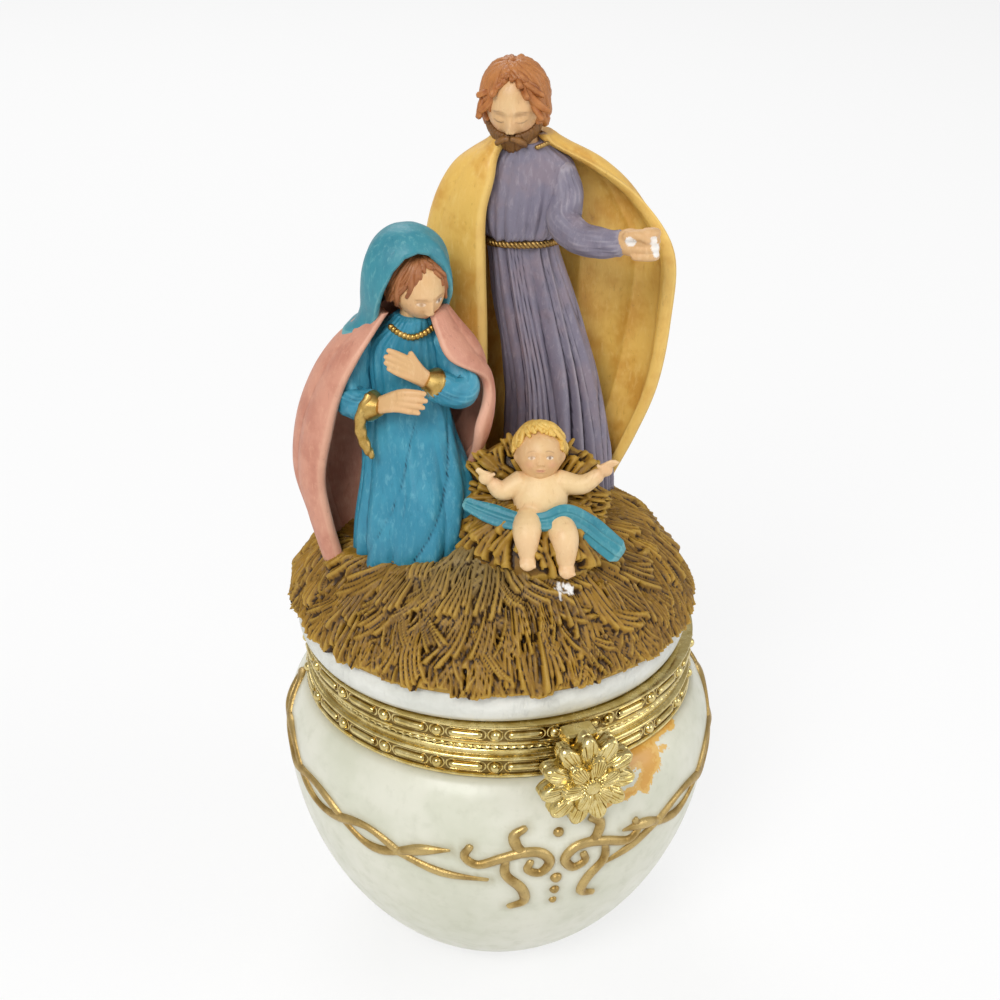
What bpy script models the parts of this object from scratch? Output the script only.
"""Nativity musical trinket box: a hinged box with a gilt band, a figure group on its lid and a wind-up
musical movement under its tray. Metres, +Z up. The rosette clasp faces -Y and the hinge is at +Y. Every
piece is made about the bowl's axis, and the whole is then centred on the origin. The figure group is set out
in its own frame, turned to face the viewer."""

import math
import random

import bmesh
import bpy
from mathutils import Matrix, Vector

MM = 0.001
GAP = 0.3 * MM
MERGE = 0.00005

# Bowl
FOOT_RADIUS = 16.5 * MM
BELLY_RADIUS = 34.9 * MM
BELLY_HEIGHT = 36.5 * MM
MOUTH_RADIUS = 31.6 * MM
BOWL_HEIGHT = 46.6 * MM
BOWL_WALL = 3.2 * MM
FOOT_EDGE = 0.9 * MM
KEY_RECESS_RADIUS = 12.5 * MM
KEY_RECESS_DEPTH = 7.0 * MM
FLOOR_THICKNESS = 2.5 * MM
MOVEMENT_WELL_RADIUS = 25.0 * MM
TRAY_LEDGE_HEIGHT = 30.0 * MM
TRAY_WELL_RADIUS = 28.5 * MM
TURN_STEPS = 40

# Gilt rings
RING_RADIUS = 31.5 * MM
RING_WALL = 3.1 * MM
RING_HEIGHT = 4.45 * MM
RING_STEP = 0.45 * MM
RING_RIM = 0.5 * MM
SLEEVE_CLEARANCE = 0.4 * MM
SLEEVE_WALL = 0.8 * MM
SLEEVE_DEPTH = 3.5 * MM
REPEATS = 22
BAR_LENGTH = 5.2 * MM
BAR_HEIGHT = 1.15 * MM
BEAD_RADIUS = 0.9 * MM
RELIEF_PROUD = 0.45 * MM
RING_LEDGE = 0.9 * MM

# Hinge
PIN_RADIUS = 0.8 * MM
PIN_CLEARANCE = 0.3 * MM
KNUCKLE_RADIUS = 1.9 * MM
KNUCKLE_LENGTH = 4.4 * MM
HINGE_OFFSET = 2.9 * MM
WEB_START = 1.2 * MM
WEB_SETBACK = 0.15 * MM

# Clasp
CLASP_RADIUS = 7.6 * MM
CLASP_DROP = 2.35 * MM
CLASP_STANDOFF = 3.8 * MM
CLASP_DEPTH = 2.6 * MM
CLASP_TURN = math.radians(-3)
CLASP_PETALS = 12
TAB_WIDTH = 5.0 * MM
TAB_HEIGHT = 2.2 * MM
STUD_RADIUS = 1.2 * MM

# Lid casting and straw, a little off the rings' centre
LID_OFFSET = -1.1 * MM
LID_BASE_RADIUS = 30.4 * MM
LID_SWELL = 0.9 * MM
LID_BASE_BORE = 27.8 * MM
LID_STRIP = 4.4 * MM
LID_DOME = 13.0 * MM
LID_WALL = 3.4 * MM
STRAW_RISE = 23.4 * MM
STRAW_RIM_WALL = 1.2 * MM
STRAW_STEPS = 40
TUFT_HEIGHT = 2.4 * MM
GROUP_TURN = math.radians(-24)

# Figure seats above the lid casting's base, and the height of that base in the figures' own sizes
JOSEPH_RISE = 21.6 * MM
MARY_RISE = 16.8 * MM
MANGER_RISE = 17.2 * MM
FIGURE_DATUM = 56.4 * MM
FIGURE_VOXEL = 0.55 * MM
FIGURE_CLEARANCE = 0.45 * MM

# Tray
TRAY_RADIUS = 26.8 * MM
TRAY_WALL = 1.2 * MM
TRAY_RIM_HEIGHT = 9.0 * MM

# Movement
KEY_X = -5.0 * MM
PLATE_LENGTH = 33.0 * MM
PLATE_WIDTH = 24.0 * MM
PLATE_CENTRE_X = 1.5 * MM
PLATE_THICKNESS = 1.6 * MM
BOSS_HEIGHT = 1.2 * MM
BOSS_RADIUS = 2.4 * MM
SCREW_RADIUS = 0.9 * MM
SCREW_CLEARANCE = 0.3 * MM
SCREW_HEAD_RADIUS = 1.7 * MM
SCREW_HEAD_HEIGHT = 1.1 * MM
SCREW_CIRCLE = 10.2 * MM
ARBOR_RADIUS = 1.2 * MM
ARBOR_CLEARANCE = 0.4 * MM
BARREL_RADIUS = 6.6 * MM
BARREL_HEIGHT = 4.6 * MM
BARREL_WALL = 0.9 * MM
CROWN_TEETH = 20
CROWN_RADIUS = 6.4 * MM
CROWN_THICKNESS = 1.0 * MM
CROWN_TOOTH_HEIGHT = 1.2 * MM
CROWN_TOOTH_LENGTH = 1.6 * MM
PINION_TEETH = 10
TOOTH_WIDTH = 0.5 * MM
ADDENDUM = 0.55 * MM
DEDENDUM = 0.75 * MM
MESH_DEPTH = 0.7 * MM
DRUM_RADIUS = 4.4 * MM
DRUM_LENGTH = 9.0 * MM
END_GEAR_TEETH = 20
GOVERNOR_PINION_TEETH = 10
END_GEAR_PITCH = 4.4 * MM
GEAR_WIDTH = 1.0 * MM
WORM_WHEEL_TEETH = 11
WORM_WHEEL_PITCH = 2.9 * MM
WORM_PITCH_RADIUS = 1.15 * MM
SHAFT_RADIUS = 0.7 * MM
BEARING_CLEARANCE = 0.3 * MM
FRAME_THICKNESS = 0.9 * MM
COMB_TEETH = 18
COMB_THICKNESS = 0.8 * MM
COMB_TIP_GAP = 0.6 * MM
PIN_HEIGHT = 0.35 * MM
FAN_RADIUS = 3.0 * MM
KEY_WIDTH = 13.0 * MM
KEY_WING_HEIGHT = 3.6 * MM
KEY_THICKNESS = 1.3 * MM
KEY_HUB_RADIUS = 2.6 * MM
KEY_FLOOR_CLEARANCE = 0.8 * MM

# Heights that follow from the sizes above
CRACK_HEIGHT = BOWL_HEIGHT + GAP + RING_HEIGHT + GAP / 2
LID_RING_BASE = CRACK_HEIGHT + GAP / 2
LID_BASE = LID_RING_BASE + RING_HEIGHT + GAP
LID_BULGE = LID_BASE_RADIUS + LID_SWELL
STRAW_RIM_RADIUS = LID_BULGE + GAP + STRAW_RIM_WALL
FIGURE_LIFT = LID_BASE - FIGURE_DATUM
JOSEPH_SEAT = LID_BASE + JOSEPH_RISE
MARY_SEAT = LID_BASE + MARY_RISE
MANGER_SEAT = LID_BASE + MANGER_RISE
RING_BORE = RING_RADIUS - RING_WALL
SLEEVE_BORE = TRAY_WELL_RADIUS - SLEEVE_CLEARANCE - SLEEVE_WALL
CLASP_HEIGHT = CRACK_HEIGHT - CLASP_DROP
CLASP_BACK = RING_RADIUS + CLASP_STANDOFF
FLOOR_HEIGHT = KEY_RECESS_DEPTH + FLOOR_THICKNESS
PLATE_BASE = FLOOR_HEIGHT + BOSS_HEIGHT + GAP
PLATE_TOP = PLATE_BASE + PLATE_THICKNESS
PIN_Y = RING_RADIUS + HINGE_OFFSET
BARREL_BASE = PLATE_TOP + GAP
BARREL_TOP = BARREL_BASE + BARREL_HEIGHT
CROWN_BASE = BARREL_TOP + GAP
CROWN_TOP = CROWN_BASE + CROWN_THICKNESS + CROWN_TOOTH_HEIGHT
CROWN_MESH_RADIUS = CROWN_RADIUS - CROWN_TOOTH_LENGTH / 2
PINION_PITCH = CROWN_MESH_RADIUS * PINION_TEETH / CROWN_TEETH
CYLINDER_HEIGHT = CROWN_TOP - MESH_DEPTH + PINION_PITCH + ADDENDUM
PINION_START = KEY_X + CROWN_MESH_RADIUS - GEAR_WIDTH / 2
FRAME_A_X = PINION_START + GEAR_WIDTH + GAP
DRUM_START = FRAME_A_X + FRAME_THICKNESS + GAP
END_GEAR_START = DRUM_START + DRUM_LENGTH + 2 * GAP
GOVERNOR_PITCH = END_GEAR_PITCH * GOVERNOR_PINION_TEETH / END_GEAR_TEETH
GOVERNOR_Y = END_GEAR_PITCH + GOVERNOR_PITCH + 0.1 * MM
WORM_WHEEL_START = END_GEAR_START + GEAR_WIDTH + 2 * GAP
WORM_X = WORM_WHEEL_START + GEAR_WIDTH / 2
WORM_Y = GOVERNOR_Y + WORM_WHEEL_PITCH + WORM_PITCH_RADIUS + 0.2 * MM
FRAME_B_X = WORM_WHEEL_START + GEAR_WIDTH + GAP

MATERIALS = {
    "white_glaze": ((0.80, 0.80, 0.74), 0.35, 0.0),
    "gilt_metal": ((0.78, 0.58, 0.22), 0.28, 1.0),
    "straw_paint": ((0.42, 0.27, 0.07), 0.6, 0.0),
    "robe_mauve": ((0.22, 0.17, 0.27), 0.6, 0.0),
    "robe_blue": ((0.04, 0.30, 0.44), 0.55, 0.0),
    "skin_paint": ((0.72, 0.47, 0.33), 0.5, 0.0),
    "steel": ((0.6, 0.6, 0.6), 0.3, 1.0),
    "brass": ((0.7, 0.55, 0.25), 0.35, 1.0),
    "zinc_casting": ((0.45, 0.45, 0.46), 0.5, 0.9),
    "tray_plastic": ((0.35, 0.05, 0.06), 0.7, 0.0),
}


def clear_scene():
    for item in list(bpy.data.objects):
        bpy.data.objects.remove(item, do_unlink=True)


def collection(name):
    group = bpy.data.collections.new(name)
    bpy.context.scene.collection.children.link(group)
    return group


def material(name):
    if name in bpy.data.materials:
        return bpy.data.materials[name]
    colour, roughness, metallic = MATERIALS[name]
    made = bpy.data.materials.new(name)
    made.use_nodes = True
    shader = made.node_tree.nodes["Principled BSDF"]
    shader.inputs["Base Color"].default_value = (*colour, 1.0)
    shader.inputs["Roughness"].default_value = roughness
    shader.inputs["Metallic"].default_value = metallic
    return made


def linked(name, data):
    made = bpy.data.objects.new(name, data)
    PARTS.objects.link(made)
    return made


def settle(item):
    """Turns an object's modifiers, curve and transform into a plain closed mesh with its faces out."""
    bpy.context.view_layer.update()
    graph = bpy.context.evaluated_depsgraph_get()
    mesh = bpy.data.meshes.new_from_object(item.evaluated_get(graph))
    mesh.transform(item.matrix_world)
    shape = bmesh.new()
    shape.from_mesh(mesh)
    bmesh.ops.remove_doubles(shape, verts=shape.verts, dist=MERGE / 5)
    bmesh.ops.dissolve_degenerate(shape, edges=shape.edges, dist=MERGE / 10)
    bmesh.ops.recalc_face_normals(shape, faces=shape.faces)
    shape.to_mesh(mesh)
    shape.free()
    name = item.name
    old = item.data
    bpy.data.objects.remove(item, do_unlink=True)
    if old.users == 0 and isinstance(old, bpy.types.Mesh):
        bpy.data.meshes.remove(old)
    return linked(name, mesh)


def finish(item, slot, sharp=35):
    item.data.materials.clear()
    item.data.materials.append(material(slot))
    item.data.shade_smooth()
    item.data.set_sharp_from_angle(angle=math.radians(sharp))
    return item


def turned(name, profile, closed=False, steps=TURN_STEPS):
    """A Screw modifier's solid: profile is (radius, height) pairs, down the outer side."""
    count = len(profile)
    edges = [(i, i + 1) for i in range(count - 1)]
    if closed:
        edges.append((count - 1, 0))
    mesh = bpy.data.meshes.new(name)
    mesh.from_pydata([(radius, 0, height) for radius, height in profile], edges, [])
    item = linked(name, mesh)
    screw = item.modifiers.new("Screw", "SCREW")
    screw.axis = "Z"
    screw.angle = math.tau
    screw.steps = steps
    screw.render_steps = steps
    screw.use_merge_vertices = True
    screw.merge_threshold = MERGE
    return settle(item)


def rod(name, radius, start, end, steps=12):
    """A cylinder between two points."""
    start, end = Vector(start), Vector(end)
    along = end - start
    shape = bmesh.new()
    bmesh.ops.create_cone(shape, cap_ends=True, segments=steps, radius1=radius, radius2=radius, depth=along.length)
    turn = along.to_track_quat("Z", "Y").to_matrix().to_4x4()
    bmesh.ops.transform(shape, matrix=Matrix.Translation((start + end) / 2) @ turn, verts=shape.verts)
    mesh = bpy.data.meshes.new(name)
    shape.to_mesh(mesh)
    shape.free()
    return linked(name, mesh)


def block(name, low, high):
    """A box between two corners."""
    low, high = Vector(low), Vector(high)
    shape = bmesh.new()
    bmesh.ops.create_cube(shape, size=1.0)
    size = high - low
    place = Matrix.Translation((low + high) / 2) @ Matrix.Diagonal((*size, 1.0))
    bmesh.ops.transform(shape, matrix=place, verts=shape.verts)
    mesh = bpy.data.meshes.new(name)
    shape.to_mesh(mesh)
    shape.free()
    return linked(name, mesh)


def ball(name, centre, radii, turn=(0, 0, 0), segments=16, rings=10):
    """An ellipsoid."""
    shape = bmesh.new()
    bmesh.ops.create_uvsphere(shape, u_segments=segments, v_segments=rings, radius=1.0)
    rotation = Matrix.Rotation(turn[2], 4, "Z") @ Matrix.Rotation(turn[1], 4, "Y") @ Matrix.Rotation(turn[0], 4, "X")
    place = Matrix.Translation(centre) @ rotation @ Matrix.Diagonal((*radii, 1.0))
    bmesh.ops.transform(shape, matrix=place, verts=shape.verts)
    mesh = bpy.data.meshes.new(name)
    shape.to_mesh(mesh)
    shape.free()
    return linked(name, mesh)


def tube(name, points, radii, sides=2, steps=3):
    """A round tube through points, with a radius at each, on a smooth curve."""
    curve = bpy.data.curves.new(name, "CURVE")
    curve.dimensions = "3D"
    curve.bevel_depth = 1.0
    curve.bevel_resolution = sides
    curve.use_fill_caps = True
    spline = curve.splines.new("POLY")
    dense = smooth_route([(*point, radius) for point, radius in zip(points, radii)], steps)
    spline.points.add(len(dense) - 1)
    for target, point in zip(spline.points, dense):
        target.co = (*point[:3], 1.0)
        target.radius = point[3]
    return settle(linked(name, curve))


def smooth_route(points, steps=4):
    """Points along a Catmull-Rom curve through the given ones, of any number of values each."""
    if len(points) < 3:
        return [tuple(p) for p in points]
    ends = [points[0]] + list(points) + [points[-1]]
    route = []
    for a, b, c, d in zip(ends, ends[1:], ends[2:], ends[3:]):
        for k in range(steps):
            t = k / steps
            route.append(
                tuple(
                    0.5 * (2 * q + (r - p) * t + (2 * p - 5 * q + 4 * r - s) * t**2 + (3 * q - p - 3 * r + s) * t**3)
                    for p, q, r, s in zip(a, b, c, d)
                )
            )
    route.append(tuple(points[-1]))
    return route


def plate(name, outline, start, end):
    """A flat outline of (x, y) points, as a solid from height start to end."""
    curve = bpy.data.curves.new(name, "CURVE")
    curve.dimensions = "2D"
    curve.fill_mode = "BOTH"
    curve.extrude = (end - start) / 2
    spline = curve.splines.new("POLY")
    spline.points.add(len(outline) - 1)
    for target, (x, y) in zip(spline.points, outline):
        target.co = (x, y, 0, 1)
    spline.use_cyclic_u = True
    item = linked(name, curve)
    item.location.z = (start + end) / 2
    return settle(item)


def boolean(item, others, operation):
    """Joins or cuts with other solids, which are used up."""
    for other in others:
        step = item.modifiers.new("Boolean", "BOOLEAN")
        step.operation = operation
        step.solver = "EXACT"
        step.object = other
        item = settle(item)
        bpy.data.objects.remove(other, do_unlink=True)
    return item


def join(item, *others):
    return boolean(item, others, "UNION")


def cut(item, *others):
    return boolean(item, others, "DIFFERENCE")


def cluster(name, pieces):
    """Separate solids in one mesh, for one Boolean step."""
    shape = bmesh.new()
    for piece in pieces:
        shape.from_mesh(piece.data)
        bpy.data.objects.remove(piece, do_unlink=True)
    mesh = bpy.data.meshes.new(name)
    shape.to_mesh(mesh)
    shape.free()
    return linked(name, mesh)


def moved(item, matrix):
    item.data.transform(matrix)
    return item


def bowl_radius(height):
    """The bowl's outer radius: one curve from foot to belly and a tighter one from belly to mouth."""
    if height <= BELLY_HEIGHT:
        power, end, end_radius = 1.8, BELLY_HEIGHT, FOOT_RADIUS
    else:
        power, end, end_radius = 3.0, BOWL_HEIGHT - BELLY_HEIGHT, MOUTH_RADIUS
    share = (abs(BELLY_HEIGHT - height) / end) ** power
    return math.sqrt(BELLY_RADIUS**2 - (BELLY_RADIUS**2 - end_radius**2) * share)


def bowl_profile():
    inner = [(0, FLOOR_HEIGHT)]
    for height, wall in ((FLOOR_HEIGHT, 1.4), (FLOOR_HEIGHT + 4.5 * MM, 1.2)):
        inner.append((min(bowl_radius(height) - wall * BOWL_WALL, MOVEMENT_WELL_RADIUS), height))
    inner.append((MOVEMENT_WELL_RADIUS, FLOOR_HEIGHT + 7 * MM))
    inner.append((MOVEMENT_WELL_RADIUS, TRAY_LEDGE_HEIGHT))
    inner.append((TRAY_WELL_RADIUS, TRAY_LEDGE_HEIGHT))
    inner.append((TRAY_WELL_RADIUS, BOWL_HEIGHT))
    count = 7
    outer = []
    for step in range(count + 1):
        height = FOOT_EDGE + (BOWL_HEIGHT - FOOT_EDGE) * (1 - step / count)
        outer.append((bowl_radius(height), height))
    foot = [(FOOT_RADIUS, 0), (KEY_RECESS_RADIUS, 0), (KEY_RECESS_RADIUS, KEY_RECESS_DEPTH), (0, KEY_RECESS_DEPTH)]
    return inner + outer + foot


# The gold ornament, as (along the belly, height) pairs from its own centre line, drawn for a mouth at its datum
ORNAMENT_TURN = math.radians(-8.5)
ORNAMENT_DATUM = 46.6 * MM
RELIEF_RADIUS = 0.62 * MM
CROSSINGS = [(7.5, 33.0), (22, 33.2), (34.5, 34.4), (47.5, 36.6), (58, 41.5), (64, 45.5)]
STRAND_SWING = 1.7
STRAND_STEPS = 3
SCROLLS = [
    [(13.4, 36.6), (14.3, 34.6), (12.2, 33.2), (8.6, 34.6), (5.2, 35.6), (2.6, 35.2), (1.2, 33.2), (2.6, 31.2), (4.6, 32.0), (4.2, 33.6)],
    [(5.2, 40.0), (6.8, 38.8), (6.4, 36.8), (5.2, 35.6)],
    [(8.0, 34.4), (8.0, 31.2), (5.6, 28.2), (4.8, 25.0), (7.2, 23.6)],
]
DOTS = [(0, 38.7, 0.85), (0, 29.6, 0.95), (0, 26.8, 0.8), (0, 24.2, 0.65)]


def on_belly(along, height, sink=0.1 * MM):
    """A point on the bowl, from millimetres along the belly and up."""
    angle = ORNAMENT_TURN + along * MM / BELLY_RADIUS
    level = height * MM + BOWL_HEIGHT - ORNAMENT_DATUM
    radius = bowl_radius(level) - sink
    return (radius * math.sin(angle), -radius * math.cos(angle), level)


def strand_points(side, phase):
    """One strand of a garland, which swings above and below the line through the crossings."""
    route = smooth_route(CROSSINGS, steps=STRAND_STEPS)
    points = []
    for index, (along, height) in enumerate(route):
        swing = STRAND_SWING * math.sin(math.pi * index / STRAND_STEPS) * phase
        if index > STRAND_STEPS * (len(CROSSINGS) - 2):
            swing = 0.5 * phase
        points.append(on_belly(side * (along + 4), height + swing, (0.1 + 0.06 * phase) * MM))
    return points


def relief():
    pieces = []
    for side in (-1, 1):
        for phase in (-1, 1):
            points = strand_points(side, phase)[1:]
            pieces.append(tube("strand", points, [RELIEF_RADIUS] * len(points), sides=0, steps=1))
        for scroll in SCROLLS:
            points = [on_belly(side * along, height) for along, height in scroll]
            radii = [RELIEF_RADIUS * (0.8 + 0.35 * math.sin(math.pi * i / (len(points) - 1))) for i in range(len(points))]
            pieces.append(tube("scroll", points, radii, sides=0, steps=1))
    for along, height, radius in DOTS:
        pieces.append(ball("dot", on_belly(along, height), [radius * MM] * 3, segments=6, rings=4))
    return pieces


def screw_places():
    places = []
    for angle in (65, 180, 295):
        turn = math.radians(angle)
        places.append((SCREW_CIRCLE * math.cos(turn), SCREW_CIRCLE * math.sin(turn)))
    return places


def bowl():
    item = turned("bowl", bowl_profile())
    for x, y in screw_places():
        item = join(item, rod("boss", BOSS_RADIUS, (x, y, FLOOR_HEIGHT - MM), (x, y, FLOOR_HEIGHT + BOSS_HEIGHT)))
    holes = [rod("hole", SCREW_RADIUS + SCREW_CLEARANCE, (x, y, 0), (x, y, BOWL_HEIGHT / 2), 12) for x, y in screw_places()]
    hole = rod("hole", ARBOR_RADIUS + ARBOR_CLEARANCE, (KEY_X, 0, 0), (KEY_X, 0, BOWL_HEIGHT / 2), 16)
    item = cut(item, *holes, hole)
    item = join(item, *relief())
    return finish(item, "white_glaze")


def ring_outline(base, up):
    """A ring's section. The side away from the crack has a rim, the side at the crack steps in."""
    face = RING_RADIUS - RING_STEP
    heights = [
        (RING_BORE, 0), (RING_RADIUS, 0), (RING_RADIUS, RING_RIM), (face, RING_RIM * 1.4),
        (face, RING_HEIGHT - RING_LEDGE), (face - RING_STEP, RING_HEIGHT - RING_LEDGE), (face - RING_STEP, RING_HEIGHT),
        (RING_BORE, RING_HEIGHT),
    ]
    if up:
        return [(radius, base + height) for radius, height in heights]
    return [(radius, base + RING_HEIGHT - height) for radius, height in heights]


def bead(centre):
    """A small round bead of twenty faces."""
    shape = bmesh.new()
    bmesh.ops.create_icosphere(shape, subdivisions=1, radius=BEAD_RADIUS)
    bmesh.ops.translate(shape, verts=shape.verts, vec=centre)
    return from_shape("bead", shape)


def ring_relief(centre_height):
    """Bars and beads round the band, left out behind the clasp's tab and at the hinge."""
    bars = []
    face = RING_RADIUS - RING_STEP
    for index in range(2 * REPEATS):
        angle = math.tau * index / (2 * REPEATS)
        at_hinge = abs(math.remainder(angle - math.pi, math.tau)) < math.radians(17)
        at_tab = abs(math.remainder(angle, math.tau)) < math.radians(12)
        if at_hinge or at_tab:
            continue
        turn = Matrix.Rotation(angle, 4, "Z")
        if index % 2:
            piece = bead((0, -face, centre_height))
        else:
            low = (-BAR_LENGTH / 2, -face - RELIEF_PROUD, centre_height - BAR_HEIGHT / 2)
            high = (BAR_LENGTH / 2, -face + MM, centre_height + BAR_HEIGHT / 2)
            piece = block("bar", low, high)
        bars.append(moved(piece, turn))
    return cluster("ring_relief", bars)


def knuckle_span(index):
    """The ends along X of knuckle -1, 0 or 1."""
    pitch = KNUCKLE_LENGTH + GAP
    return index * pitch - KNUCKLE_LENGTH / 2, index * pitch + KNUCKLE_LENGTH / 2


def with_knuckles(item, indexes, low, high):
    """Adds knuckles and the webs that carry them, and bores the pin's hole."""
    for index in indexes:
        start, end = knuckle_span(index)
        web = block("web", (start, RING_BORE + MM, low), (end, PIN_Y, high))
        barrel = rod("knuckle", KNUCKLE_RADIUS, (start, PIN_Y, CRACK_HEIGHT), (end, PIN_Y, CRACK_HEIGHT), 20)
        item = join(item, web, barrel)
    reach = 2 * KNUCKLE_LENGTH
    bore = rod("bore", PIN_RADIUS + PIN_CLEARANCE, (-reach, PIN_Y, CRACK_HEIGHT), (reach, PIN_Y, CRACK_HEIGHT), 16)
    return cut(item, bore)


def hinge_notch(indexes, low, high):
    """Room in one ring for the other ring's knuckles as they turn."""
    notches = []
    for index in indexes:
        start, end = knuckle_span(index)
        corner = (start - GAP, PIN_Y - KNUCKLE_RADIUS - GAP, low)
        notches.append(block("notch", corner, (end + GAP, PIN_Y + 2 * KNUCKLE_RADIUS, high)))
    return notches


def base_ring():
    base = BOWL_HEIGHT + GAP
    outline = ring_outline(base, up=True)
    sleeve = [(SLEEVE_BORE, base + RING_HEIGHT), (SLEEVE_BORE, base - SLEEVE_DEPTH)]
    sleeve += [(SLEEVE_BORE + SLEEVE_WALL, base - SLEEVE_DEPTH), (SLEEVE_BORE + SLEEVE_WALL, base)]
    profile = list(reversed(outline[1:-1])) + list(reversed(sleeve))
    item = turned("base_ring", profile, closed=True)
    item = join(item, ring_relief(base + 1.75 * MM))
    item = cut(item, *hinge_notch((0,), base - MM, CRACK_HEIGHT + KNUCKLE_RADIUS))
    item = with_knuckles(item, (-1, 1), base + WEB_START, base + RING_HEIGHT - WEB_SETBACK)
    stud_hole = rod("hole", STUD_RADIUS + GAP, (0, -RING_BORE, stud_height()), (0, -RING_RADIUS - MM, stud_height()))
    item = cut(item, moved(stud_hole, clasp_matrix()))
    return finish(item, "gilt_metal")


def lid_ring():
    outline = ring_outline(LID_RING_BASE, up=False)
    item = turned("lid_ring", outline, closed=True)
    item = join(item, ring_relief(LID_RING_BASE + RING_HEIGHT - 1.75 * MM))
    item = cut(item, *hinge_notch((-1, 1), LID_RING_BASE - KNUCKLE_RADIUS, LID_BASE))
    item = with_knuckles(item, (0,), LID_RING_BASE + WEB_SETBACK, LID_RING_BASE + RING_HEIGHT - WEB_START)
    return finish(item, "gilt_metal")


def hinge_pin():
    reach = 1.5 * KNUCKLE_LENGTH + 2.4 * MM
    start, end = (-reach, PIN_Y, CRACK_HEIGHT), (reach, PIN_Y, CRACK_HEIGHT)
    item = rod("hinge_pin", PIN_RADIUS, start, end)
    for side in (-1, 1):
        outer = (side * (reach + 0.8 * MM), PIN_Y, CRACK_HEIGHT)
        inner = (side * (reach - 0.4 * MM), PIN_Y, CRACK_HEIGHT)
        item = join(item, rod("head", PIN_RADIUS * 1.7, inner, outer))
    return finish(item, "brass")


def clasp_matrix():
    """The clasp, its tab and its stud stand a little left of the middle of the front."""
    return Matrix.Rotation(CLASP_TURN, 4, "Z")


def stud_height():
    return BOWL_HEIGHT + GAP + 2.2 * MM


def catch_stud():
    height = stud_height()
    item = rod("catch_stud", STUD_RADIUS, (0, -RING_BORE - 0.5 * MM, height), (0, -CLASP_BACK + GAP + 0.6 * MM, height))
    tip = -CLASP_BACK + GAP
    item = join(item, rod("tip", STUD_RADIUS * 1.25, (0, -CLASP_BACK + GAP + 0.8 * MM, height), (0, tip, height)))
    return finish(moved(item, clasp_matrix()), "gilt_metal")


def clasp_tab():
    top = LID_RING_BASE + RING_HEIGHT - 0.2 * MM
    low = (-TAB_WIDTH / 2, -CLASP_BACK + GAP, top - TAB_HEIGHT)
    high = (TAB_WIDTH / 2, -RING_RADIUS - GAP, top)
    item = block("clasp_tab", low, high)
    edge = item.modifiers.new("Bevel", "BEVEL")
    edge.width = 0.3 * MM
    edge.segments = 1
    return finish(moved(settle(item), clasp_matrix()), "gilt_metal")


def petal_outline(radius, petals, depth, phase=0.0):
    """A rosette's edge: rounded petals with notches between."""
    points = []
    for index in range(petals * 4):
        angle = math.tau * (index / (petals * 4) + phase)
        swing = abs(math.sin(math.pi * (index / 4)))
        reach = radius - depth * (1 - swing**0.6)
        points.append((reach * math.cos(angle), reach * math.sin(angle)))
    return points


def flower_clasp():
    """Built lying with its face up, then stood on the front of the band."""
    item = plate("flower_clasp", petal_outline(CLASP_RADIUS, CLASP_PETALS, 1.3 * MM), 0, CLASP_DEPTH)
    middle = petal_outline(CLASP_RADIUS * 0.6, CLASP_PETALS // 2, 0.9 * MM, 0.04)
    item = join(item, plate("middle", middle, CLASP_DEPTH - 0.5 * MM, CLASP_DEPTH + 0.9 * MM))
    centre = CLASP_DEPTH + 1.0 * MM
    item = join(item, ball("boss", (0, 0, centre), (1.7 * MM, 1.7 * MM, 1.2 * MM), segments=12, rings=8))
    place = Matrix.Translation((0, -CLASP_BACK, CLASP_HEIGHT)) @ Matrix.Rotation(math.radians(90), 4, "X")
    return finish(moved(item, clasp_matrix() @ place), "gilt_metal")


def group_matrix():
    """From the figure group's frame to the box's: X to the viewer's right, -Y to the viewer."""
    return Matrix.Rotation(GROUP_TURN, 4, "Z")


def lid_profile(rise, out):
    """The casting's outer line, moved out by a gap where the straw sits on it."""
    top = LID_BASE + LID_DOME + rise
    return [
        (0, top), (9 * MM, top - 0.5 * MM), (17 * MM, top - 1.3 * MM), (24 * MM, top - 3.2 * MM),
        (LID_BULGE - 3.0 * MM + out, top - 6.4 * MM), (LID_BULGE - 0.4 * MM + out, top - 8.6 * MM),
    ]


def lid_shell():
    outer = lid_profile(0, 0)
    outer += [(LID_BULGE, LID_BASE + 2.2 * MM), (LID_BASE_RADIUS, LID_BASE)]
    inner = [(LID_BASE_BORE, LID_BASE), (LID_BASE_BORE, LID_BASE + 2.5 * MM)]
    inner += [(24 * MM, LID_BASE + LID_DOME - LID_WALL - 3.6 * MM)]
    inner += [(12 * MM, LID_BASE + LID_DOME - LID_WALL - 0.6 * MM), (0, LID_BASE + LID_DOME - LID_WALL)]
    item = turned("lid_shell", outer + inner)
    item = moved(item, group_matrix() @ Matrix.Translation((LID_OFFSET, 0, 0)))
    return finish(item, "white_glaze")


def straw_line():
    """The straw's outer line, from the middle down to its rim."""
    top = LID_BASE + STRAW_RISE
    return [
        (0, top), (8 * MM, top - 0.6 * MM), (14 * MM, top - 2.2 * MM), (20 * MM, top - 4.8 * MM),
        (25 * MM, top - 7.6 * MM), (STRAW_RIM_RADIUS - 4.2 * MM, top - 10.8 * MM),
        (STRAW_RIM_RADIUS - 1.2 * MM, top - 13.8 * MM), (STRAW_RIM_RADIUS, top - 16.6 * MM),
        (STRAW_RIM_RADIUS, LID_BASE + LID_STRIP + 0.2 * MM),
    ]


def straw_profile():
    inner = [(LID_BULGE + GAP, LID_BASE + LID_STRIP)]
    inner += reversed(lid_profile(GAP * 1.5, GAP * 1.2))
    return straw_line() + inner


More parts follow.
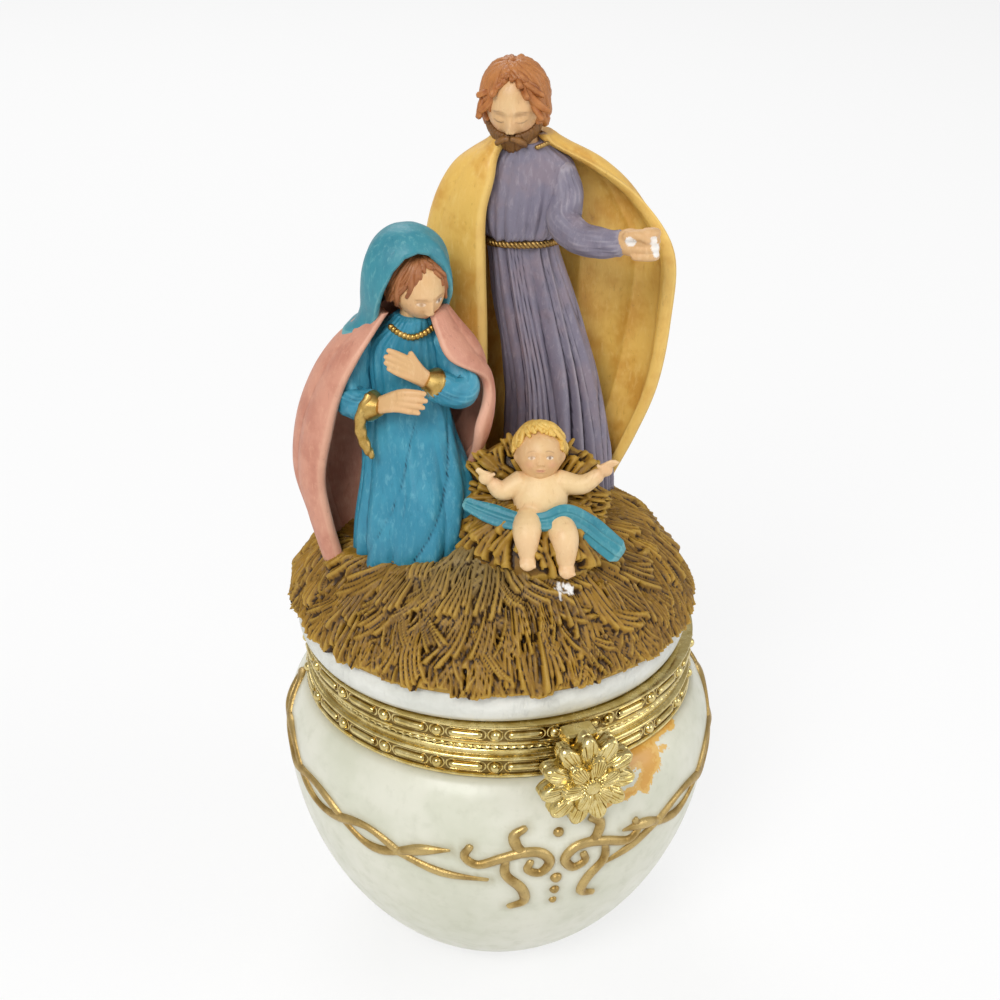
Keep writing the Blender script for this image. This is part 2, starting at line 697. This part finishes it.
def straw_mound():
    """The mound, whose tufts stand out at every other point of each row round it."""
    item = turned("straw_mound", straw_profile(), steps=STRAW_STEPS)
    chance = random.Random(7)
    line = straw_line()
    for point in item.data.vertices:
        radius = math.hypot(point.co.x, point.co.y)
        rows = [i for i, (r, z) in enumerate(line) if abs(r - radius) < MERGE and abs(z - point.co.z) < MERGE]
        if not rows or rows[0] == 0:
            continue
        step = round(math.atan2(point.co.y, point.co.x) / math.tau * STRAW_STEPS)
        raised = (rows[0] + step) % 2 == 0
        lump = TUFT_HEIGHT * (chance.uniform(0.35, 0.7) if raised else chance.uniform(-0.5, -0.25))
        outward = (radius / STRAW_RIM_RADIUS) ** 2
        if rows[0] == len(line) - 1:
            point.co.z += chance.uniform(0, 0.2) * TUFT_HEIGHT if raised else chance.uniform(0.5, 0.8) * TUFT_HEIGHT
        else:
            point.co.z += lump * (1 - 0.5 * outward)
        scale = 1 + 0.6 * outward * lump / radius
        point.co.x *= scale
        point.co.y *= scale
    item = cut(item, seat_room())
    item = moved(item, group_matrix() @ Matrix.Translation((LID_OFFSET, 0, 0)))
    return finish(item, "straw_paint", sharp=25)


def seat_room():
    """The space above the three flat seats, as one cutter."""
    pieces = []
    for index, (centre, radii, seat) in enumerate(seat_spots()):
        cutter = rod("seat", 1.0, (0, 0, 0), (0, 0, 1), 26 + index)
        place = Matrix.Translation((centre[0] - LID_OFFSET, centre[1], seat))
        pieces.append(moved(cutter, place @ Matrix.Diagonal((*radii, 0.03, 1))))
    return join(*pieces)


def seat_spots():
    """Where the figures stand in the straw: centre, half sizes and height of each flat seat."""
    return [
        ((6 * MM, 9.5 * MM), (17.2 * MM, 10.2 * MM), JOSEPH_SEAT),
        ((-15 * MM, -6 * MM), (15.4 * MM, 12.4 * MM), MARY_SEAT),
        ((5 * MM, -12 * MM), (13.8 * MM, 12.6 * MM), MANGER_SEAT),
    ]


def loft(name, sections, folds=0, depth=0.0, sides=28):
    """A closed skin over ellipses, each (x, y, z, half width, half depth) in millimetres, with soft folds."""
    shape = bmesh.new()
    rings = []
    for index, (x, y, z, width, thick) in enumerate(smooth_route(sections, steps=3)):
        ring = []
        for side in range(sides):
            angle = math.tau * side / sides
            ripple = 1 + depth * math.sin(folds * angle + 0.25 * index)
            px = x + width * ripple * math.sin(angle)
            py = y + thick * ripple * math.cos(angle)
            ring.append(shape.verts.new((px * MM, py * MM, z * MM)))
        rings.append(ring)
    skin(shape, rings, closed=True)
    return from_shape(name, shape)


def skin(shape, rings, closed):
    """Faces between neighbouring rings of points, with end faces."""
    for lower, upper in zip(rings, rings[1:]):
        count = len(lower)
        for side in range(count if closed else count - 1):
            after = (side + 1) % count
            shape.faces.new((lower[side], lower[after], upper[after], upper[side]))
    shape.faces.new(rings[0])
    shape.faces.new(list(reversed(rings[-1])))


def from_shape(name, shape):
    bmesh.ops.recalc_face_normals(shape, faces=shape.faces)
    mesh = bpy.data.meshes.new(name)
    shape.to_mesh(mesh)
    shape.free()
    return linked(name, mesh)


def drape(name, sections, thickness, folds=7, depth=0.05, sides=26):
    """A cloak: a sheet that goes round behind a body. Sections are (x, y, z, half width, half depth,
    start angle, end angle) in millimetres and degrees from straight behind, positive to the right."""
    shape = bmesh.new()
    rings = []
    for index, (x, y, z, width, thick, start, end) in enumerate(smooth_route(sections, steps=3)):
        outer, inner = [], []
        for side in range(sides):
            share = side / (sides - 1)
            angle = math.radians(start + (end - start) * share)
            ripple = 1 + depth * math.sin(folds * math.pi * share + 0.3 * index)
            for target, move in ((outer, thickness / 2), (inner, -thickness / 2)):
                px = x + (width * ripple + move) * math.sin(angle)
                py = y + (thick * ripple + move) * math.cos(angle)
                target.append(shape.verts.new((px * MM, py * MM, z * MM)))
        rings.append(outer + list(reversed(inner)))
    skin(shape, rings, closed=True)
    return from_shape(name, shape)


def limb(name, points, radii):
    places = [tuple(value * MM for value in point) for point in points]
    return tube(name, places, [radius * MM for radius in radii])


def lump(name, centre, radii, turn=(0, 0, 0)):
    place = [value * MM for value in centre]
    return ball(name, place, [radius * MM for radius in radii], turn)


def fuse(name, forms, faces, seat=None):
    """Melts overlapping forms into one skin, thins it to a number of faces and cuts it flat at its seat."""
    item = cluster(name, forms)
    item.name = name
    remesh = item.modifiers.new("Remesh", "REMESH")
    remesh.mode = "VOXEL"
    remesh.voxel_size = FIGURE_VOXEL
    item = settle(item)
    keep_largest(item)
    thin = item.modifiers.new("Decimate", "DECIMATE")
    thin.ratio = min(1.0, faces / max(1, 2 * len(item.data.polygons)))
    item = moved(settle(item), Matrix.Translation((0, 0, FIGURE_LIFT)))
    keep_largest(item)
    if seat is not None:
        reach = 0.06
        item = cut(item, block("seat", (-reach, -reach, seat - reach), (reach, reach, seat + GAP)))
        keep_largest(item)
    return item


def keep_largest(item):
    """Drops loose inner skins, so that the casting is one body."""
    shape = bmesh.new()
    shape.from_mesh(item.data)
    shape.verts.ensure_lookup_table()
    unseen = set(shape.verts)
    groups = []
    while unseen:
        stack = [unseen.pop()]
        group = []
        while stack:
            vertex = stack.pop()
            group.append(vertex)
            for edge in vertex.link_edges:
                other = edge.other_vert(vertex)
                if other in unseen:
                    unseen.discard(other)
                    stack.append(other)
        groups.append(group)
    groups.sort(key=len, reverse=True)
    for group in groups[1:]:
        bmesh.ops.delete(shape, geom=group, context="VERTS")
    shape.to_mesh(item.data)
    shape.free()


def joseph_forms():
    robe = [
        (9.5, 9, 76, 8.8, 6), (9.0, 9, 84, 8.2, 5.9), (7.6, 9, 96, 7.0, 5.4), (4.6, 9, 109, 6.0, 4.8),
        (2.8, 8.6, 117.5, 5.4, 4.2), (3.2, 8.6, 124, 6.8, 4.7), (3.6, 8.8, 129, 7.2, 4.4), (3.4, 8.6, 132.5, 3.4, 3.2),
    ]
    cloak = [
        (5.2, 9.5, 76, 14.2, 6.2, -140, 86), (6.2, 9.5, 84, 15.6, 6.8, -144, 88), (6.6, 9.5, 93, 17.4, 7.2, -147, 90),
        (7.0, 9.5, 104, 18.6, 7.2, -149, 92), (7.2, 9.5, 115, 18.6, 7.0, -149, 92), (5.6, 9.4, 123, 15.6, 6.2, -148, 94),
        (3.8, 9.2, 129, 10.6, 5.4, -144, 114), (3.4, 9.0, 132.5, 5.4, 4.0, -130, 130),
    ]
    return [
        loft("robe", robe, folds=9, depth=0.05),
        drape("cloak", cloak, 1.9),
        limb("sleeve", [(10.5, 7, 127.5), (10, 4, 121), (13, 0.8, 119.4), (17.4, -1.6, 119.9)], [3.0, 3.2, 2.8, 2.5]),
        lump("fist", (20.2, -2.0, 120.6), (3.0, 2.2, 2.2)),
        lump("neck", (3.2, 8.0, 133.5), (2.8, 2.8, 3.4)),
        lump("head", (3.0, 6.8, 138.2), (4.4, 5.0, 5.8)),
        lump("hair", (3.2, 8.0, 139.2), (5.7, 5.4, 6.0)),
        lump("curls_left", (-1.6, 7.4, 137.6), (1.6, 2.6, 3.2)),
        lump("curls_right", (8.0, 7.6, 136.2), (1.7, 2.8, 3.6)),
        lump("beard", (3.1, 3.6, 133.2), (3.0, 2.4, 3.2)),
        lump("nose", (3.0, 1.9, 138.0), (0.7, 0.9, 1.4)),
    ]


def mary_forms():
    robe = [
        (-13, -7.5, 71, 9.4, 8.6), (-12.6, -7.8, 77, 9.2, 8.4), (-12.6, -7.2, 84, 8.6, 7.4), (-13.6, -6.2, 92, 7.2, 5.8),
        (-14.2, -5.8, 99, 6.4, 4.8), (-14.4, -5.6, 106, 6.6, 4.6), (-13.2, -5.6, 110.5, 3.4, 3.4),
    ]
    cloak = [
        (-18, -5.4, 71, 9.6, 6.4, -128, 80), (-18, -5.2, 79, 11.6, 6.4, -128, 84), (-17.6, -5.0, 86, 12.6, 6.2, -130, 96),
        (-15.6, -4.8, 95, 14.0, 6.0, -132, 120), (-14.8, -4.8, 102, 12.0, 5.8, -135, 132),
        (-14.6, -4.8, 108, 8.6, 5.2, -138, 136), (-13.6, -4.9, 112, 4.8, 4.4, -135, 135),
    ]
    return [
        loft("robe", robe, folds=8, depth=0.045),
        drape("cloak", cloak, 1.8),
        lump("head", (-12.2, -6.6, 115.4), (4.0, 4.4, 5.2)),
        lump("hood", (-13.4, -4.8, 117.0), (5.9, 5.8, 6.9)),
        limb("veil", [(-17, -5.6, 115), (-19, -6.2, 110.5), (-21.6, -6.4, 106)], [2.6, 2.9, 1.8]),
        limb("veil_right", [(-8.6, -5.4, 114.5), (-8.4, -6, 110)], [1.6, 1.4]),
        limb("arm_right", [(-8.4, -6, 107), (-5.2, -8.0, 101.2), (-9.5, -11.0, 101.4), (-12.5, -12.0, 104)], [2.8, 3.1, 2.4, 1.7]),
        lump("hand_up", (-14.4, -12.0, 106.0), (2.5, 1.3, 1.9), (0, 0.5, 0)),
        limb("arm_left", [(-20.4, -6, 106), (-22.0, -8.6, 98.5), (-18.6, -12.0, 99.4)], [2.8, 3.0, 2.1]),
        lump("hand_low", (-14.6, -13.4, 100.8), (4.2, 1.4, 1.5)),
        lump("nose", (-11.4, -11.0, 115.2), (0.6, 0.8, 1.1)),
    ]


def infant_forms():
    return [
        lump("head", (5.8, -10.4, 90.6), (4.1, 3.9, 4.4)),
        lump("nose", (5.8, -14.4, 90.2), (0.5, 0.6, 0.6)),
        lump("torso", (6.0, -13.2, 84.6), (4.3, 2.9, 5.0), (-0.45, 0, 0)),
        limb("arm_left", [(3.0, -12.6, 86.6), (0.6, -13.2, 86.2), (-2.2, -13.4, 87.8)], [1.6, 1.4, 1.2]),
        limb("arm_right", [(9.0, -12.2, 86.6), (12.0, -12.4, 86.6), (15.4, -12.4, 89.0)], [1.6, 1.4, 1.2]),
        limb("leg_left", [(4.6, -14.6, 82.0), (4.2, -18.0, 81.0), (4.1, -19.2, 77.4)], [2.1, 1.9, 1.4]),
        limb("leg_right", [(7.8, -14.6, 82.0), (9.4, -18.0, 80.2), (10.0, -19.6, 76.4)], [2.1, 1.9, 1.4]),
        lump("cloth", (6.2, -14.8, 81.4), (6.4, 2.6, 1.7), (0, 0.12, 0)),
        lump("cloth_left", (-0.6, -14.2, 82.4), (4.0, 1.8, 0.9), (0, 0.2, 0)),
        lump("cloth_right", (13.4, -15.0, 80.2), (4.6, 1.9, 0.9), (0, 0.35, 0)),
    ]


def manger_forms():
    forms = [
        lump("heap", (5.0, -12.2, 78.0), (9.6, 8.2, 6.6)),
        lump("back", (5.0, -8.6, 85.5), (9.6, 3.6, 6.8)),
    ]
    chance = random.Random(11)
    fan = 8
    for index in range(fan):
        angle = math.radians(-80 + 160 * index / (fan - 1))
        reach = chance.uniform(11.2, 12.4)
        tip = (5.0 + reach * math.sin(angle), -7.6 - chance.uniform(0, 1.2), 82.8 + 0.86 * reach * math.cos(angle))
        forms.append(limb("tuft", [(5.0, -9.6, 81.0), tip], [2.0, 1.5]))
    for index in range(fan):
        angle = math.radians(-84 + 168 * index / (fan - 1))
        reach = chance.uniform(8.6, 9.8)
        tip = (5.0 + 1.15 * reach * math.sin(angle), -12.0 - reach * math.cos(angle), 74.6 + chance.uniform(-0.3, 0.8))
        forms.append(limb("fringe", [(5.0, -12.5, 81.0), tip], [2.4, 1.5]))
    return forms


def room_for(item):
    """A copy of a casting, grown all over, which cuts the room that a neighbour leaves it."""
    mesh = item.data.copy()
    for point, normal in zip(item.data.vertices, item.data.vertex_normals):
        mesh.vertices[point.index].co = point.co + normal.vector * FIGURE_CLEARANCE
    return linked("room", mesh)


def figures():
    joseph = fuse("joseph_figure", joseph_forms(), 1000, JOSEPH_SEAT)
    mary = fuse("mary_figure", mary_forms(), 920, MARY_SEAT)
    infant = fuse("infant_figure", infant_forms(), 470)
    manger = fuse("manger_straw", manger_forms(), 400, MANGER_SEAT)
    mary = cut(mary, room_for(joseph))
    manger = cut(manger, room_for(infant), room_for(mary), room_for(joseph))
    slots = ((joseph, "robe_mauve"), (mary, "robe_blue"), (infant, "skin_paint"), (manger, "straw_paint"))
    for item, slot in slots:
        keep_largest(item)
        finish(moved(item, group_matrix()), slot, sharp=60)


def trinket_tray():
    base = TRAY_LEDGE_HEIGHT + GAP
    profile = [
        (0, base + TRAY_WALL), (TRAY_RADIUS - TRAY_WALL, base + TRAY_WALL), (TRAY_RADIUS - TRAY_WALL, base + TRAY_RIM_HEIGHT),
        (TRAY_RADIUS, base + TRAY_RIM_HEIGHT), (TRAY_RADIUS, base), (0, base),
    ]
    return finish(turned("trinket_tray", profile), "tray_plastic")


def movement_bedplate():
    left = PLATE_CENTRE_X - PLATE_LENGTH / 2
    right = PLATE_CENTRE_X + PLATE_LENGTH / 2
    item = block("movement_bedplate", (left, -PLATE_WIDTH / 2, PLATE_BASE), (right, PLATE_WIDTH / 2, PLATE_TOP))
    corners = item.modifiers.new("Bevel", "BEVEL")
    corners.width = 0.4 * MM
    corners.segments = 1
    item = settle(item)
    seat_top = CYLINDER_HEIGHT - COMB_THICKNESS / 2 - GAP
    low = (DRUM_START, -PLATE_WIDTH / 2 + 0.5 * MM, PLATE_TOP - 0.5 * MM)
    item = join(item, block("comb_seat", low, (DRUM_START + DRUM_LENGTH, -PLATE_WIDTH / 2 + 3.5 * MM, seat_top)))
    holes = [
        rod("hole", SCREW_RADIUS + GAP, (x, y, PLATE_BASE - MM), (x, y, PLATE_TOP + MM), 12) for x, y in screw_places()
    ]
    holes.append(rod("hole", ARBOR_RADIUS + ARBOR_CLEARANCE, (KEY_X, 0, PLATE_BASE - MM), (KEY_X, 0, PLATE_TOP + MM)))
    for x, y in comb_screw_places():
        holes.append(rod("hole", SCREW_RADIUS + GAP, (x, y, seat_top - 3 * MM), (x, y, seat_top + MM), 12))
    return finish(cut(item, *holes), "zinc_casting")


def mounting_screws():
    for index, (x, y) in enumerate(screw_places(), start=1):
        head = KEY_RECESS_DEPTH - GAP
        item = rod("mounting_screw_%d" % index, SCREW_RADIUS, (x, y, head - 0.4 * MM), (x, y, PLATE_TOP), 8)
        item = join(item, rod("head", SCREW_HEAD_RADIUS, (x, y, head - SCREW_HEAD_HEIGHT), (x, y, head), 12))
        finish(item, "steel")


def spring_barrel():
    bore = ARBOR_RADIUS + ARBOR_CLEARANCE
    inner = BARREL_RADIUS - BARREL_WALL
    profile = [
        (bore, BARREL_TOP), (BARREL_RADIUS, BARREL_TOP), (BARREL_RADIUS, BARREL_BASE), (inner, BARREL_BASE),
        (inner, BARREL_TOP - BARREL_WALL), (bore, BARREL_TOP - BARREL_WALL),
    ]
    item = turned("spring_barrel", profile, closed=True, steps=24)
    return finish(moved(item, Matrix.Translation((KEY_X, 0, 0))), "brass")


def crown_wheel():
    """The wheel with its teeth standing up, and the arbor down to the key."""
    top = CROWN_BASE + CROWN_THICKNESS
    end = key_top() - 2.4 * MM
    disc = [(0, top), (CROWN_RADIUS, top), (CROWN_RADIUS, CROWN_BASE), (ARBOR_RADIUS, CROWN_BASE), (ARBOR_RADIUS, end), (0, end)]
    item = turned("crown_wheel", disc, steps=24)
    teeth = []
    for index in range(CROWN_TEETH):
        low = (CROWN_RADIUS - CROWN_TOOTH_LENGTH, -TOOTH_WIDTH / 2, top - 0.3 * MM)
        high = (CROWN_RADIUS - 0.1 * MM, TOOTH_WIDTH / 2, top + CROWN_TOOTH_HEIGHT)
        tooth = block("tooth", low, high)
        teeth.append(moved(tooth, Matrix.Rotation(math.tau * (index + 0.5) / CROWN_TEETH, 4, "Z")))
    item = join(item, cluster("teeth", teeth))
    return finish(moved(item, Matrix.Translation((KEY_X, 0, 0))), "brass")


def key_top():
    return KEY_RECESS_DEPTH - SCREW_HEAD_HEIGHT - 3 * GAP


def winding_key():
    top = key_top()
    base = KEY_FLOOR_CLEARANCE
    item = rod("winding_key", KEY_HUB_RADIUS, (0, 0, base), (0, 0, top), 20)
    for side in (-1, 1):
        wing = rod("wing", KEY_WING_HEIGHT / 2, (side * 4.4 * MM, -KEY_THICKNESS / 2, base + KEY_WING_HEIGHT / 2),
                   (side * 4.4 * MM, KEY_THICKNESS / 2, base + KEY_WING_HEIGHT / 2), 20)
        reach = KEY_WIDTH / 2 - 4.4 * MM
        stretch = Matrix.Translation((side * 4.4 * MM, 0, 0)) @ Matrix.Diagonal((2 * reach / KEY_WING_HEIGHT, 1, 1, 1))
        wing = moved(wing, stretch @ Matrix.Translation((-side * 4.4 * MM, 0, 0)))
        inner, outer = sorted((side * KEY_HUB_RADIUS * 0.6, side * 4.4 * MM))
        web = block("web", (inner, -KEY_THICKNESS / 2 + 0.05 * MM, base + 0.5 * MM),
                    (outer, KEY_THICKNESS / 2 - 0.05 * MM, base + KEY_WING_HEIGHT - 0.5 * MM))
        item = join(item, wing, web)
    hole = rod("hole", ARBOR_RADIUS + GAP, (0, 0, top - 2.4 * MM - GAP), (0, 0, top + MM), 16)
    item = cut(item, hole)
    return finish(moved(item, Matrix.Translation((KEY_X, 0, 0))), "zinc_casting")


def gear_outline(teeth, pitch_radius):
    """A spur gear's edge, with straight-sided teeth of one width."""
    root, tip = pitch_radius - DEDENDUM, pitch_radius + ADDENDUM
    points = []
    for index in range(teeth):
        middle = math.tau * index / teeth
        for radius, side, width in ((root, -1, 1.15), (tip, -1, 0.75), (tip, 1, 0.75), (root, 1, 1.15)):
            angle = middle + side * width * TOOTH_WIDTH / 2 / radius
            points.append((radius * math.cos(angle), radius * math.sin(angle)))
    return points


def lying_gear(name, teeth, pitch_radius, start, phase=0.0):
    """A gear whose axle lies along X through the cylinder's axis."""
    item = plate(name, gear_outline(teeth, pitch_radius), 0, GEAR_WIDTH)
    turn = Matrix.Rotation(math.radians(90), 4, "Y") @ Matrix.Rotation(phase, 4, "Z")
    return moved(item, Matrix.Translation((start, 0, 0)) @ turn)


def pin_cylinder():
    end = FRAME_B_X + FRAME_THICKNESS + 0.5 * MM
    item = rod("pin_cylinder", SHAFT_RADIUS, (PINION_START - 0.6 * MM, 0, 0), (end, 0, 0))
    item = join(item, rod("drum", DRUM_RADIUS, (DRUM_START, 0, 0), (DRUM_START + DRUM_LENGTH, 0, 0), 20))
    half_tooth = math.pi / PINION_TEETH
    item = join(item, lying_gear("pinion", PINION_TEETH, PINION_PITCH, PINION_START, half_tooth * (PINION_TEETH % 2)))
    item = join(item, lying_gear("end_gear", END_GEAR_TEETH, END_GEAR_PITCH, END_GEAR_START))
    chance = random.Random(5)
    pins = []
    spacing = DRUM_LENGTH / COMB_TEETH
    for row in range(COMB_TEETH):
        x = DRUM_START + (row + 0.5) * spacing
        angle = chance.uniform(0.5, math.tau - 0.9) + 1.5 * math.pi / 3
        side = Vector((0, math.cos(angle), math.sin(angle)))
        start, end = side * (DRUM_RADIUS - 0.4 * MM), side * (DRUM_RADIUS + PIN_HEIGHT)
        pins.append(rod("pin", 0.14 * MM, (x, start.y, start.z), (x, end.y, end.z), 4))
    item = join(item, cluster("pins", pins))
    return finish(moved(item, Matrix.Translation((0, 0, CYLINDER_HEIGHT))), "brass")


def comb_screw_places():
    y = -PLATE_WIDTH / 2 + 2.0 * MM
    return [(DRUM_START + DRUM_LENGTH * share, y) for share in (0.25, 0.75)]


def comb():
    """A steel plate with cuts between its teeth, whose tips stop just short of the pins."""
    tip = -DRUM_RADIUS - PIN_HEIGHT - COMB_TIP_GAP
    low = (DRUM_START + 0.1 * MM, -PLATE_WIDTH / 2 + 0.3 * MM, CYLINDER_HEIGHT - COMB_THICKNESS / 2)
    item = block("comb", low, (DRUM_START + DRUM_LENGTH - 0.1 * MM, tip, CYLINDER_HEIGHT + COMB_THICKNESS / 2))
    spacing = DRUM_LENGTH / COMB_TEETH
    cuts = []
    for index in range(1, COMB_TEETH):
        x = DRUM_START + index * spacing
        root = -PLATE_WIDTH / 2 + 3.7 * MM
        cuts.append(block("cut", (x - 0.06 * MM, root, low[2] - MM), (x + 0.06 * MM, tip + MM, low[2] + 2 * MM)))
    item = cut(item, cluster("cuts", cuts))
    for x, y in comb_screw_places():
        item = cut(item, rod("hole", SCREW_RADIUS + GAP, (x, y, low[2] - MM), (x, y, low[2] + 2 * MM), 12))
    return finish(item, "steel")


def comb_screws():
    top = CYLINDER_HEIGHT + COMB_THICKNESS / 2 + GAP
    for index, (x, y) in enumerate(comb_screw_places(), start=1):
        item = rod("comb_screw_%d" % index, SCREW_RADIUS, (x, y, top - 3 * MM), (x, y, top + 0.3 * MM), 8)
        item = join(item, rod("head", SCREW_HEAD_RADIUS * 0.8, (x, y, top), (x, y, top + 0.8 * MM), 12))
        finish(item, "steel")


def gear_frame():
    """Two uprights on one foot strip, which carry the cylinder and the governor wheel."""
    high = CYLINDER_HEIGHT + 2.2 * MM
    foot = PLATE_TOP + GAP
    back = GOVERNOR_Y + 1.8 * MM
    low = (FRAME_A_X, -2.0 * MM, foot)
    item = block("gear_frame", low, (FRAME_B_X + FRAME_THICKNESS, back, foot + 0.8 * MM))
    for start in (FRAME_A_X, FRAME_B_X):
        item = join(item, block("upright", (start, -1.9 * MM, foot + 0.2 * MM), (start + FRAME_THICKNESS - 0.01 * MM, back - 0.1 * MM, high)))
    start = DRUM_START + DRUM_LENGTH - FRAME_THICKNESS
    low = (start, DRUM_RADIUS + PIN_HEIGHT + GAP, foot + 0.2 * MM)
    item = join(item, block("post", low, (start + FRAME_THICKNESS * 0.9, back - 0.2 * MM, high - 0.1 * MM)))
    reach = (FRAME_A_X - MM, FRAME_B_X + 2 * MM)
    bore = SHAFT_RADIUS + BEARING_CLEARANCE
    cylinder_bore = rod("bore", bore, (reach[0], 0, CYLINDER_HEIGHT), (reach[1], 0, CYLINDER_HEIGHT))
    governor_bore = rod("bore", bore, (start - MM, GOVERNOR_Y, CYLINDER_HEIGHT), (reach[1], GOVERNOR_Y, CYLINDER_HEIGHT))
    item = cut(item, cylinder_bore, governor_bore)
    room = BARREL_RADIUS + GAP
    item = cut(item, rod("room", room, (KEY_X, 0, foot - MM), (KEY_X, 0, BARREL_TOP + GAP), 32))
    return finish(item, "brass")


def governor_wheel():
    start = DRUM_START + DRUM_LENGTH - FRAME_THICKNESS - 0.4 * MM
    item = rod("governor_wheel", SHAFT_RADIUS, (start, 0, 0), (FRAME_B_X + FRAME_THICKNESS + 0.4 * MM, 0, 0))
    item = join(item, lying_gear("pinion", GOVERNOR_PINION_TEETH, GOVERNOR_PITCH, END_GEAR_START))
    item = join(item, lying_gear("worm_wheel", WORM_WHEEL_TEETH, WORM_WHEEL_PITCH, WORM_WHEEL_START))
    return finish(moved(item, Matrix.Translation((0, GOVERNOR_Y, CYLINDER_HEIGHT))), "brass")


def worm_lead():
    return math.tau * WORM_WHEEL_PITCH / WORM_WHEEL_TEETH


def governor_fan():
    """A vertical arbor with one worm thread and a flat air brake above it."""
    low, high = fan_ends()
    item = rod("governor_fan", SHAFT_RADIUS, (0, 0, low), (0, 0, high), 16)
    turns = 2.0
    steps = 9
    points = []
    for index in range(int(turns * steps) + 1):
        share = index / steps
        angle = math.tau * share
        height = CYLINDER_HEIGHT + (share - turns / 2) * worm_lead()
        reach = WORM_PITCH_RADIUS - 0.1 * MM
        points.append((reach * math.cos(angle), reach * math.sin(angle), height))
    curve = bpy.data.curves.new("thread", "CURVE")
    curve.dimensions = "3D"
    curve.bevel_depth = 0.52 * MM
    curve.bevel_resolution = 0
    curve.use_fill_caps = True
    spline = curve.splines.new("POLY")
    spline.points.add(len(points) - 1)
    for target, point in zip(spline.points, points):
        target.co = (*point, 1.0)
    item = join(item, settle(linked("thread", curve)))
    blade_low = CYLINDER_HEIGHT + WORM_WHEEL_PITCH + 0.4 * MM
    item = join(item, block("blade", (-FAN_RADIUS, -0.2 * MM, blade_low), (FAN_RADIUS, 0.2 * MM, high - 1.6 * MM)))
    return finish(moved(item, Matrix.Translation((WORM_X, WORM_Y, 0))), "steel")


def fan_ends():
    return CYLINDER_HEIGHT - 4.6 * MM, TRAY_LEDGE_HEIGHT - 0.9 * MM


def governor_bracket():
    """A C of strip brass beside the fan, with a pivot hole above and below."""
    low, high = fan_ends()
    side = WORM_Y + FAN_RADIUS + 0.6 * MM
    x = WORM_X
    width = 2.4 * MM
    item = block("governor_bracket", (x - width / 2, side - 0.4 * MM, PLATE_TOP + GAP), (x + width / 2, side + 0.4 * MM, high + 0.2 * MM))
    for level in (low + 0.2 * MM, high - 1.0 * MM):
        arm = block("arm", (x - width / 2 + 0.05 * MM, WORM_Y - 1.3 * MM, level), (x + width / 2 - 0.05 * MM, side, level + 0.8 * MM))
        item = join(item, arm)
    foot = block("foot", (x - width / 2 + 0.05 * MM, WORM_Y - 2.2 * MM, PLATE_TOP + GAP), (x + width / 2 - 0.05 * MM, side, PLATE_TOP + 1.1 * MM))
    item = join(item, foot)
    bore = rod("bore", SHAFT_RADIUS + BEARING_CLEARANCE, (x, WORM_Y, low), (x, WORM_Y, high + MM), 16)
    return finish(cut(item, bore), "brass")


def stand_on_origin():
    """Moves the whole so that the origin is the middle, at the foot, of the box that it fills."""
    points = [point.co for item in PARTS.objects for point in item.data.vertices]
    middle = [(min(p[axis] for p in points) + max(p[axis] for p in points)) / 2 for axis in (0, 1)]
    shift = Matrix.Translation((-middle[0], -middle[1], 0))
    for item in PARTS.objects:
        item.data.transform(shift)


def build():
    bowl()
    base_ring()
    lid_ring()
    hinge_pin()
    catch_stud()
    clasp_tab()
    flower_clasp()
    lid_shell()
    straw_mound()
    figures()
    trinket_tray()
    movement_bedplate()
    mounting_screws()
    spring_barrel()
    crown_wheel()
    winding_key()
    gear_frame()
    pin_cylinder()
    comb()
    comb_screws()
    governor_wheel()
    governor_fan()
    governor_bracket()
    stand_on_origin()


clear_scene()
PARTS = collection("nativity_musical_trinket_box")
build()
